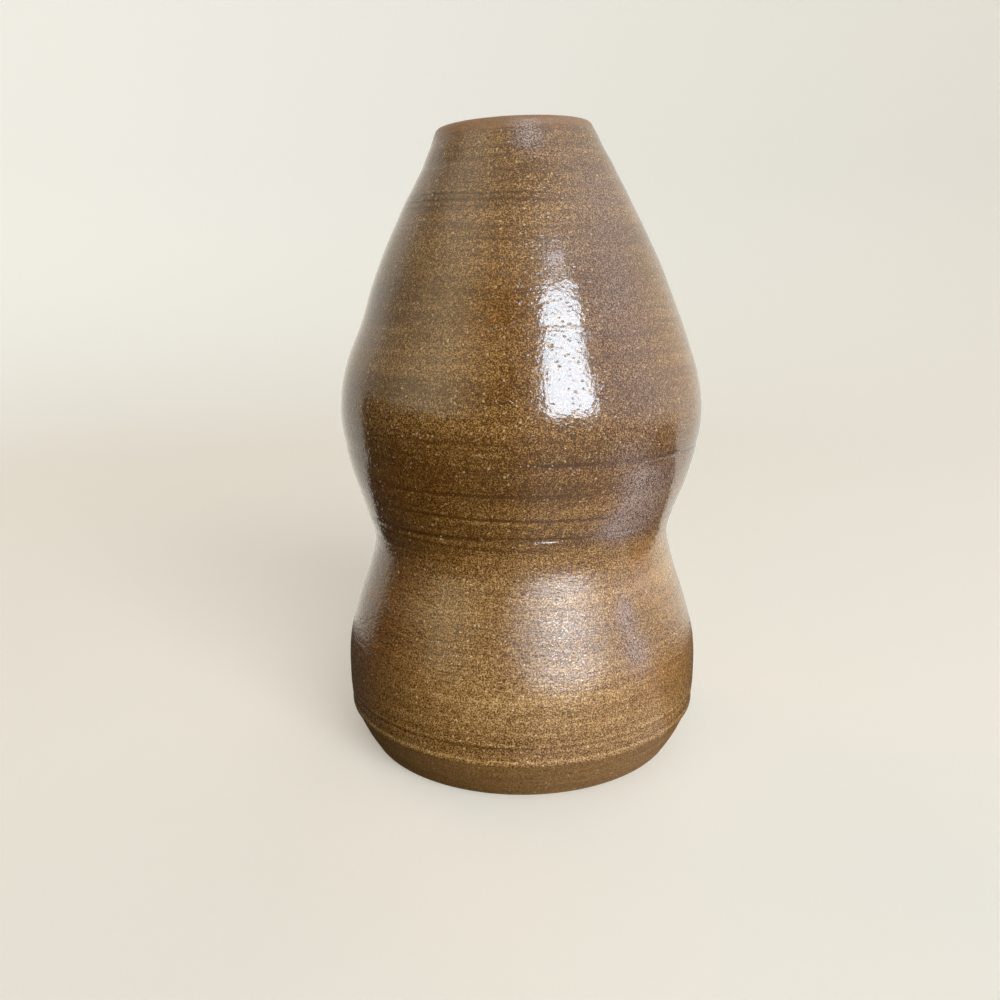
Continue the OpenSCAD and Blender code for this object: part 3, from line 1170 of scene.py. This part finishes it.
@dataclass(frozen=True)
class GlazeFinish:
    """The speckled glaze: iron brown, breaking tan, pale specks, glossy above and satin below.

    A tone of 0 is the deep brown, 0.5 the body, 1 the thin glaze and 1.5 the pale grain. Heights
    are in metres, from where a change starts to where it is complete. Besides the glaze's own
    colour, its colour holds painted shade, painted light, painted glints and painted reflections.
    """

    deep: Tone = (0.082, 0.032, 0.005)
    body: Tone = (0.200, 0.090, 0.016)
    thin: Tone = (0.485, 0.266, 0.080)
    pale: Tone = (0.78, 0.52, 0.24)
    speck: Tone = (0.88, 0.64, 0.34)
    # Bloom colour, also used for painted sheen and painted reflections
    bloom_and_sheen: Tone = (0.44, 0.33, 0.29)
    # Rust colour, also used for painted shade on the lower bulb's left
    rust_and_shade: Tone = (0.32, 0.115, 0.016)
    lip: Tone = (0.24, 0.125, 0.058)
    fineness: float = 1.0

    low_bulb_end: Point = (0.072, 0.100)
    belly_start: Point = (0.104, 0.114)
    belly_end: Point = (0.126, 0.136)
    upper_bloom_and_sheen: Point = (0.124, 0.136)
    neck: Point = (0.212, 0.222)
    mouth: Point = (0.2232, 0.2288)
    mouth_fraying: Reading = Reading("Rings", 0.3, 0.7, -0.0012, 0.0012)

    tones: tuple[Reading, ...] = (
        Reading("Bands", 0.30, 0.70, -0.12, 0.12), Reading("Rings", 0.32, 0.68, -0.12, 0.12),
        Reading("Blots", 0.0, 1.0, -0.09, 0.09), Reading("Mottle", 0.0, 1.0, -0.56, 0.54),
    )
    dot_tone: float = 0.52
    low_bulb_tone: float = 0.225
    # Pool tone lays painted shade, and painted light where pools are negative, besides the glaze
    # pooled in marks
    pool_and_shading_tone: float = -0.6
    bloom_and_sheen_tone: float = -0.60
    neck_tone: float = -0.14
    belly_tone: float = -0.10
    ground_tone: float = 0.355

    speck_share: float = 0.55
    # More pale specks on the lower bulb, partly painted glints
    low_bulb_specks_and_glints: float = 0.25
    lip_share: float = 0.70
    bloom_and_sheen_share: Reading = Reading("Mottle", 0.2, 0.9, 0.0, 1.4)
    rust_and_shade_share: Reading = Reading("Blots", 0.1, 0.8, 0.1, 0.6)

    gloss: float = 0.06
    satin: float = 0.15
    uneven_gloss: Reading = Reading("Blots", 0.0, 1.0, -0.02, 0.04)
    frost: Reading = Reading("Dots", 0.06, 0.50, 0.37, 0.0)
    lip_roughness: float = 0.42
    bending: float = 1.55
    haze: float = 0.40
    haze_share: Point = (0.08, 0.30)
    haze_grain: Reading = Reading("Mottle", 0.0, 1.0, 0.3, 1.7)
    haze_pools: tuple[float, ...] = (0.1, 0.6, 1.0, 0.15)

    peel: float = 0.060
    skin: Point = (0.060, 0.110)
    ripples: Point = (0.018, 0.170)
    pits: float = -0.110
    speck_rise: float = 0.030

    def tone(self, coat: GlazeSurface) -> Socket:
        """Works out the glaze's tone.

        Args:
            coat: What the finish reads of the coat.

        Returns:
            The tone.
        """
        bench, fields, height = coat.bench, coat.fields, coat.fields[Field.RING_HEIGHT]
        # Bloom, its painted sheen included, darkens the tone above the belly
        upper_bloom_and_sheen = bench.span(height, *self.upper_bloom_and_sheen, 0.0, self.bloom_and_sheen_tone)
        belly = bench.sum("MULTIPLY", bench.span(height, *self.belly_start),
                          bench.span(height, *self.belly_end, 1.0, 0.0))
        tone = bench.gathered(coat.grains, self.tones)
        for value, share in (
            (coat.grains["Dots"], self.dot_tone),
            (coat.low, self.low_bulb_tone),
            # Pools: painted shade, and painted light where negative, with the glaze pooled in the
            # marks
            (fields[Field.POOLING_AND_SHADING], self.pool_and_shading_tone),
            (fields[Field.BLOOM], upper_bloom_and_sheen),
            (bench.span(height, *self.neck), self.neck_tone),
            (belly, self.belly_tone),
        ):
            tone = bench.sum("MULTIPLY_ADD", value, share, tone)
        return bench.sum("ADD", tone, self.ground_tone)

    def colour(self, coat: GlazeSurface) -> Socket:
        """Works out the glaze's colour.

        Args:
            coat: What the finish reads of the coat.

        Returns:
            The colour.
        """
        bench, grains, fields, tone = coat.bench, coat.grains, coat.fields, self.tone(coat)
        # Extra pale specks on the lower bulb are partly painted glints
        specks = bench.sum("MULTIPLY_ADD", coat.low, self.low_bulb_specks_and_glints, self.speck_share)
        bloom_and_sheen_mix, rust_and_shade_mix = bench.read(grains, self.bloom_and_sheen_share), bench.read(grains, self.rust_and_shade_share)
        colour = self.deep
        for share, over in (
            (bench.span(tone, 0.0, 0.5), self.body),
            (bench.span(tone, 0.5, 1.0), self.thin),
            (bench.span(tone, 1.0, 1.5), self.pale),
            (bench.sum("MULTIPLY", grains["Specks"], specks), self.speck),
            (bench.sum("MULTIPLY", coat.mouth, self.lip_share), self.lip),
            # Bloom here also lays painted reflections and painted sheen
            (bench.sum("MULTIPLY", fields[Field.BLOOM], bloom_and_sheen_mix), self.bloom_and_sheen),
            # Rust here also lays painted shade on the lower bulb's left
            (bench.sum("MULTIPLY", fields[Field.RUST_AND_SHADE], rust_and_shade_mix), self.rust_and_shade),
        ):
            colour = bench.blend(share, colour, over)
        return colour

    def roughness(self, coat: GlazeSurface) -> Socket:
        """Works out how rough the glaze is.

        Args:
            coat: What the finish reads of the coat.

        Returns:
            The roughness.
        """
        bench = coat.bench
        rough = bench.sum("ADD", bench.span(coat.low, 0.0, 1.0, self.gloss, self.satin),
                          bench.read(coat.grains, self.uneven_gloss))
        frost = bench.read(coat.grains, self.frost)
        rough = bench.sum("ADD", rough, bench.sum("MULTIPLY", coat.fields[Field.FROST], frost))
        return bench.lay("ShaderNodeMix", {0: coat.mouth, 2: rough, 3: self.lip_roughness},
                         data_type="FLOAT").outputs[0]

    def relief(self, coat: GlazeSurface) -> Socket:
        """Works out the relief that is too fine for the mesh.

        Args:
            coat: What the finish reads of the coat.

        Returns:
            The relief, in millimetres.
        """
        bench = coat.bench
        relief = bench.sum("MULTIPLY", coat.grains["Peel"], self.peel)
        for name, rise in (
            ("Skin", bench.span(coat.low, 0.0, 1.0, *self.skin)),
            ("Ripples", bench.span(coat.low, 0.0, 1.0, *self.ripples)),
            ("Pits", self.pits),
            ("Specks", self.speck_rise),
        ):
            relief = bench.sum("MULTIPLY_ADD", coat.grains[name], rise, relief)
        return relief

    def veil(self, coat: GlazeSurface) -> Socket:
        """Works out how much of the glaze's wide haze shows.

        Args:
            coat: What the finish reads of the coat.

        Returns:
            The haze's share, less where the glaze pools.
        """
        bench = coat.bench
        veil = bench.sum("MULTIPLY", bench.span(coat.low, 0.0, 1.0, *self.haze_share),
                         bench.read(coat.grains, self.haze_grain))
        pooled = bench.span(coat.fields[Field.POOLING_AND_SHADING], *self.haze_pools)
        return bench.sum("MULTIPLY", veil, pooled)

    def material(self, grain: bpy.types.NodeTree) -> bpy.types.Material:
        """Builds the glaze's material.

        Args:
            grain: The shared grain group.

        Returns:
            The material.
        """
        made, bench, shader = new_material("speckled_glaze_finish")
        place = bench.lay("ShaderNodeTexCoord").outputs["Object"]
        fields = {kind: bench.lay("ShaderNodeAttribute", attribute_name=kind.value).outputs["Fac"]
                  for kind in Field}
        height = fields[Field.RING_HEIGHT]
        across, along, _ = bench.lay("ShaderNodeSeparateXYZ", {0: place}).outputs
        ring = bench.lay("ShaderNodeCombineXYZ", {0: across, 1: along, 2: height}).outputs[0]
        grains = grained(bench, grain, place, ring, self.fineness)
        low = bench.span(height, *self.low_bulb_end, 1.0, 0.0)
        frayed = bench.sum("ADD", height, bench.read(grains, self.mouth_fraying))
        coat = GlazeSurface(bench, grains, fields, low, bench.span(frayed, *self.mouth))
        bench.feed(shader, {
            "Base Color": self.colour(coat),
            "Roughness": self.roughness(coat),
            "Normal": bench.bumped(self.relief(coat)),
            "Coat Weight": self.veil(coat),
            "Coat Roughness": self.haze,
            "IOR": self.bending,
        })
        return made


@dataclass(frozen=True)
class ClayFinish:
    """The turned foot band, brown from the kiln, satin, with fine rings from the turning tool."""

    dark: Tone = (0.100, 0.042, 0.007)
    light: Tone = (0.430, 0.240, 0.080)
    speck: Tone = (0.80, 0.58, 0.32)
    name: str = "bare_stoneware_finish"
    fineness: float = 1.0
    tones: tuple[Reading, ...] = (
        Reading("Rings", 0.32, 0.68, 0.10, 0.40), Reading("Mottle", 0.0, 1.0, -0.25, 0.42),
    )
    dot_tone: float = 0.45
    speck_share: float = 0.5
    roughness: float = 0.46
    uneven_gloss: Reading = Reading("Blots", 0.0, 1.0, -0.05, 0.06)
    shine: float = 0.25
    skin: float = 0.020
    ring_depth: float = 0.012

    def material(self, grain: bpy.types.NodeTree) -> bpy.types.Material:
        """Builds a plain clay or lining material.

        Args:
            grain: The shared grain group.

        Returns:
            The material.
        """
        made, bench, shader = new_material(self.name)
        place = bench.lay("ShaderNodeTexCoord").outputs["Object"]
        grains = grained(bench, grain, place, place, self.fineness)
        tone = bench.sum("MULTIPLY_ADD", grains["Dots"], self.dot_tone,
                         bench.gathered(grains, self.tones), clamp=True)
        colour = bench.blend(tone, self.dark, self.light)
        specks = bench.sum("MULTIPLY", grains["Specks"], self.speck_share)
        relief = bench.sum("ADD", bench.sum("MULTIPLY", grains["Skin"], self.skin),
                           bench.sum("MULTIPLY", grains["Rings"], self.ring_depth))
        bench.feed(shader, {
            "Base Color": bench.blend(specks, colour, self.speck),
            "Roughness": bench.sum("ADD", bench.read(grains, self.uneven_gloss), self.roughness),
            "Normal": bench.bumped(relief),
            "Specular IOR Level": self.shine,
        })
        return made


@dataclass(frozen=True)
class LiningFinish(ClayFinish):
    """The poured lining: the same brown, darker and glossier, over the finger rings inside."""

    dark: Tone = (0.075, 0.036, 0.014)
    light: Tone = (0.190, 0.105, 0.048)
    name: str = "liner_glaze_finish"
    roughness: float = 0.24
    shine: float = 0.5
    skin: float = 0.012
    ring_depth: float = 0.020


class Task(Enum):
    """What a light of the studio is there for."""

    SHINE = "seen in the glaze"
    SHADE = "lights the surface"


@dataclass(frozen=True)
class Window:
    """A window or panel of the studio, as a soft flat light.

    Its turn, its lower and upper edge and its half width are in degrees, seen from the belly.
    """

    name: str
    task: Task
    turn: float
    low: float
    high: float
    half_turn: float
    glow: float
    tint: Tone = (1.0, 1.0, 1.0)


@dataclass
class Studio:
    """The plain set: camera, pale cove, windows, and the tones that the glaze mirrors all round.

    Lengths are in metres. A band of tones is a list of rows of direction and tone, and a level is
    the upward part of a direction.
    """

    lens: float = 34.56
    sensor: float = 36.0
    shift: float = -0.0219
    eye: Place = (0.0, -0.3646, 0.1807)
    look_down: float = 13.55
    near: float = 0.01

    cove_floor: float = 0.62
    cove_mid: float = 0.3
    cove_bend: float = 0.3
    cove_top: float = 2.2
    cove_drop: float = 0.0004
    cove_bend_segments: int = 16
    cove_steps: int = 96
    cove_tone: Tone = (0.74, 0.72, 0.65)
    cove_roughness: float = 0.85
    cove_glow: float = 0.42
    seam_gap: float = 1e-5

    board_tone: Tone = (0.03, 0.02, 0.01)
    board_roughness: float = 0.9
    board_place: Place = (0.0, 0.05, -0.0006)
    board_half: Place = (0.9, 0.08, 1.0)
    screen_place: Place = (-0.54, 0.0, 0.06)
    screen_half: Place = (0.10, 0.25, 1.0)
    screen_swing: float = 7.0

    focus: Vector = field(default_factory=lambda: Vector((0.0, 0.0, 0.140)))
    distance: float = 2.0
    windows: tuple[Window, ...] = (
        Window("lower_sash_shine", Task.SHINE, 29.8, 5.0, 28.0, 15.4, 18.5, (0.74, 0.86, 1.0)),
        Window("upper_sash_shine", Task.SHINE, 30.0, 28.05, 38.4, 15.0, 18.0, (0.72, 0.86, 1.0)),
        Window("window_head_shine", Task.SHINE, 30.0, 38.45, 40.0, 11.0, 17.0, (0.72, 0.86, 1.0)),
        Window("transom_shine", Task.SHINE, 33.0, 45.2, 47.8, 9.0, 9.0, (0.92, 0.88, 1.0)),
        Window("window_light", Task.SHADE, 25.0, 4.0, 42.0, 20.0, 6.2),
        Window("far_left_light", Task.SHADE, -130.0, 0.0, 50.0, 20.0, 1.1, (1.0, 0.64, 0.32)),
        Window("table_bounce", Task.SHADE, 90.0, -40.0, -5.0, 35.0, 1.6),
        Window("front_bounce", Task.SHADE, 10.0, -45.0, -5.0, 35.0, 0.8),
        Window("ceiling_light", Task.SHADE, 20.0, 62.0, 89.0, 60.0, 1.05),
        Window("far_right_light", Task.SHADE, 150.0, 0.0, 50.0, 25.0, 0.8, (1.0, 0.95, 0.88)),
    )
    upright: tuple[tuple[float, Tone], ...] = (
        (-180.0, (0.90, 0.87, 0.77)), (-150.0, (1.05, 0.98, 0.84)), (-122.0, (1.02, 0.96, 0.83)),
        (-107.0, (0.64, 0.60, 0.47)), (-92.0, (0.62, 0.58, 0.42)), (-78.0, (1.15, 1.11, 0.84)),
        (-56.0, (1.70, 1.64, 1.22)), (-42.0, (1.30, 1.26, 0.92)), (-30.0, (0.70, 0.67, 0.50)),
        (-20.0, (0.24, 0.22, 0.16)), (-8.0, (0.10, 0.09, 0.08)), (2.0, (0.40, 0.39, 0.38)),
        (14.0, (1.20, 1.17, 1.17)), (60.0, (1.28, 1.24, 1.26)), (84.0, (1.62, 1.56, 1.54)),
        (104.0, (1.60, 1.52, 1.42)), (140.0, (1.20, 1.15, 1.02)), (165.0, (0.80, 0.78, 0.70)),
        (180.0, (0.80, 0.78, 0.70)),
    )
    overhead: tuple[tuple[float, Tone], ...] = (
        (-180.0, (0.80, 0.78, 0.68)), (-110.0, (1.25, 1.22, 1.00)), (-60.0, (1.80, 1.72, 1.38)),
        (-20.0, (0.85, 0.82, 0.64)), (5.0, (1.20, 1.17, 1.00)), (30.0, (1.90, 1.86, 1.74)),
        (70.0, (2.00, 1.96, 1.85)), (120.0, (1.60, 1.55, 1.42)), (180.0, (0.80, 0.78, 0.68)),
    )
    ground: tuple[tuple[float, Tone], ...] = (
        (-180.0, (0.03, 0.02, 0.01)), (-60.0, (0.03, 0.02, 0.01)), (-36.0, (0.14, 0.12, 0.08)),
        (-12.0, (0.18, 0.16, 0.12)), (4.0, (0.45, 0.42, 0.37)), (18.0, (0.85, 0.79, 0.74)),
        (50.0, (0.75, 0.70, 0.68)), (80.0, (0.70, 0.66, 0.66)), (125.0, (0.55, 0.50, 0.46)),
        (150.0, (0.20, 0.16, 0.12)), (180.0, (0.03, 0.02, 0.01)),
    )
    zenith: Tone = (0.95, 0.92, 0.82)
    backdrop: Tone = (0.80, 0.77, 0.69)
    overhead_level: Point = (0.60, 0.72)
    zenith_level: Point = (0.80, 0.92)
    behind_range: Point = (0.34, 0.50)
    behind_level: float = -0.56
    ground_slant: tuple[float, ...] = (0.3, 0.9, 0.06, -0.06)
    ground_edge: Point = (-0.02, 0.02)

    def camera(self) -> None:
        """Sets the camera where the photograph was taken from."""
        data = bpy.data.cameras.new("camera")
        data.sensor_width = self.sensor
        data.lens = self.lens
        data.shift_x = self.shift
        data.clip_start = self.near
        made = set_out("camera", data)
        made.location = self.eye
        made.rotation_euler = (math.radians(90.0 - self.look_down), 0.0, 0.0)
        bpy.context.scene.camera = made

    def cove(self) -> None:
        """Turns the pale floor and its curved backdrop as one wide cove, for the camera alone."""
        turns = [math.pi / 2.0 * index / self.cove_bend_segments
                 for index in range(1, self.cove_bend_segments + 1)]
        profile = [(0.0, 0.0), (self.cove_mid, 0.0), (self.cove_floor, 0.0)]
        profile += [(self.cove_floor + self.cove_bend * math.sin(turn),
                     self.cove_bend - self.cove_bend * math.cos(turn)) for turn in turns]
        profile += [(self.cove_floor + self.cove_bend, self.cove_top)]
        mesh = drawn([Vector((radius, height - self.cove_drop)) for radius, height in profile])
        spun(mesh, math.tau, self.cove_steps, merged=True)
        bmesh.ops.remove_doubles(mesh, verts=mesh.verts[:], dist=self.seam_gap)
        for face in mesh.faces:
            face.smooth = True
        made = self.set_piece(mesh, "pale_cove", self.cove_tone, self.cove_roughness,
                              self.cove_glow)
        made.visible_glossy = made.visible_diffuse = False
        made.visible_transmission = made.visible_shadow = False

    def flags(self) -> None:
        """Sets two dark boards that the glaze alone mirrors, behind the pot and at its left."""
        level = Matrix.Translation(self.board_place) @ Matrix.Diagonal((*self.board_half, 1.0))
        swing = Matrix.Rotation(math.radians(self.screen_swing), 4, "Z")
        upright = Matrix.Rotation(math.pi / 2.0, 4, "Y") @ Matrix.Diagonal((*self.screen_half, 1.0))
        stood = swing @ Matrix.Translation(self.screen_place) @ upright
        for name, place in (("table_behind", level), ("dark_screen", stood)):
            mesh = bmesh.new()
            bmesh.ops.create_grid(mesh, x_segments=1, y_segments=1, size=1.0, matrix=place)
            made = self.set_piece(mesh, name, self.board_tone, self.board_roughness, 0.0)
            made.visible_camera = made.visible_diffuse = made.visible_shadow = False

    def set_piece(self, mesh: bmesh.types.BMesh, name: str, tone: Tone, rough: float,
                  glow: float) -> bpy.types.Object:
        """Args:
            mesh: The piece's mesh, in metres; it is freed here.
            name: Name of the piece.
            tone: Its colour.
            rough: Its roughness.
            glow: How strongly it shines by itself.

        Returns:
            The piece.
        """
        finish, bench, shader = new_material(name + "_finish")
        bench.feed(shader, {
            "Base Color": bench.tone(tone),
            "Roughness": rough,
            "Emission Color": bench.tone(tone),
            "Emission Strength": glow,
        })
        made = dressed(mesh, name, finish)
        return made

    def light(self, window: Window) -> None:
        """Hangs one window's light, facing the pot.

        Args:
            window: The window.
        """
        turn = math.radians(window.turn)
        middle = math.radians((window.low + window.high) / 2.0)
        half = math.radians((window.high - window.low) / 2.0)
        level = Vector((math.sin(turn), -math.cos(turn), 0.0))
        away = level * math.cos(middle) + Vector((0.0, 0.0, math.sin(middle)))
        wide = math.tan(math.radians(window.half_turn))
        data = bpy.data.lights.new(window.name, "AREA")
        data.shape = "RECTANGLE"
        data.size = 2.0 * self.distance * wide * math.cos(middle)
        data.size_y = 2.0 * self.distance * math.tan(half)
        data.energy = window.glow * math.pi * data.size * data.size_y
        data.color = window.tint
        made = set_out(window.name, data)
        made.location = self.focus + away * self.distance
        made.rotation_euler = away.to_track_quat("Z", "Y").to_euler()
        made.visible_camera = False
        made.visible_diffuse = window.task is Task.SHADE
        made.visible_glossy = window.task is Task.SHINE

    def room(self) -> None:
        """Builds what the glaze mirrors: upright, overhead and ground, with tones all round."""
        world = bpy.data.worlds.new("room")
        bpy.context.scene.world = world
        world.use_nodes = True
        world.cycles_visibility.diffuse = False
        world.node_tree.nodes.clear()
        bench = Bench(world.node_tree)
        way = bench.lay("ShaderNodeTexCoord").outputs["Generated"]
        across, along, up = bench.lay("ShaderNodeSeparateXYZ", {0: way}).outputs
        turn = bench.sum("ARCTAN2", across, bench.sum("MULTIPLY", along, -1.0))
        upright, overhead, ground = (self.panorama(bench, turn, tones)
                                     for tones in (self.upright, self.overhead, self.ground))
        tone = bench.blend(bench.span(up, *self.overhead_level), upright, overhead)
        tone = bench.blend(bench.span(up, *self.zenith_level), tone, self.zenith)
        edge = bench.sum("MULTIPLY_ADD", bench.span(along, *self.behind_range), self.behind_level,
                         bench.span(across, *self.ground_slant))
        over = bench.span(bench.sum("SUBTRACT", up, edge), *self.ground_edge)
        tone = bench.blend(over, ground, tone)
        seen = bench.lay("ShaderNodeLightPath").outputs["Is Camera Ray"]
        tone = bench.blend(seen, tone, self.backdrop)
        light = bench.lay("ShaderNodeBackground", {"Color": tone, "Strength": 1.0})
        bench.lay("ShaderNodeOutputWorld", {"Surface": light.outputs[0]})

    def panorama(self, bench: Bench, turn: Socket, tones: tuple[tuple[float, Tone], ...]) -> Socket:
        """Lays one band of tones all the way round.

        Args:
            bench: Bench on the world's nodes.
            turn: Direction in radians, 0 in front of the pot and positive to its right.
            tones: Rows of direction in degrees and tone, in rising order.

        Returns:
            The band's colour.
        """
        tone = tones[0][1]
        for (start, _), (end, after) in zip(tones, tones[1:]):
            share = bench.span(turn, math.radians(start), math.radians(end))
            tone = bench.blend(share, tone, after)
        return tone

    def build(self) -> None:
        """Sets up the whole studio."""
        self.camera()
        self.cove()
        self.flags()
        self.room()
        for window in self.windows:
            self.light(window)
        bpy.context.scene.view_settings.view_transform = "Standard"
        LOG.info("studio: %d lights", len(self.windows))


def main() -> None:
    """Builds the studio and the three layers of the vase, in order."""
    logging.basicConfig(level=logging.INFO, format="%(name)s: %(message)s")
    Studio().build()
    outline = Outline()
    lathe = Lathe(outline, Throwing())
    wall = Wall(outline)
    grain = StonewareGrain().group()
    ThrownClay(wall, lathe).build(ClayFinish().material(grain))
    SpeckledCoat(wall, lathe).build(GlazeFinish().material(grain))
    PouredLining(wall, lathe).build(LiningFinish().material(grain))


if __name__ == "__main__":
    main()
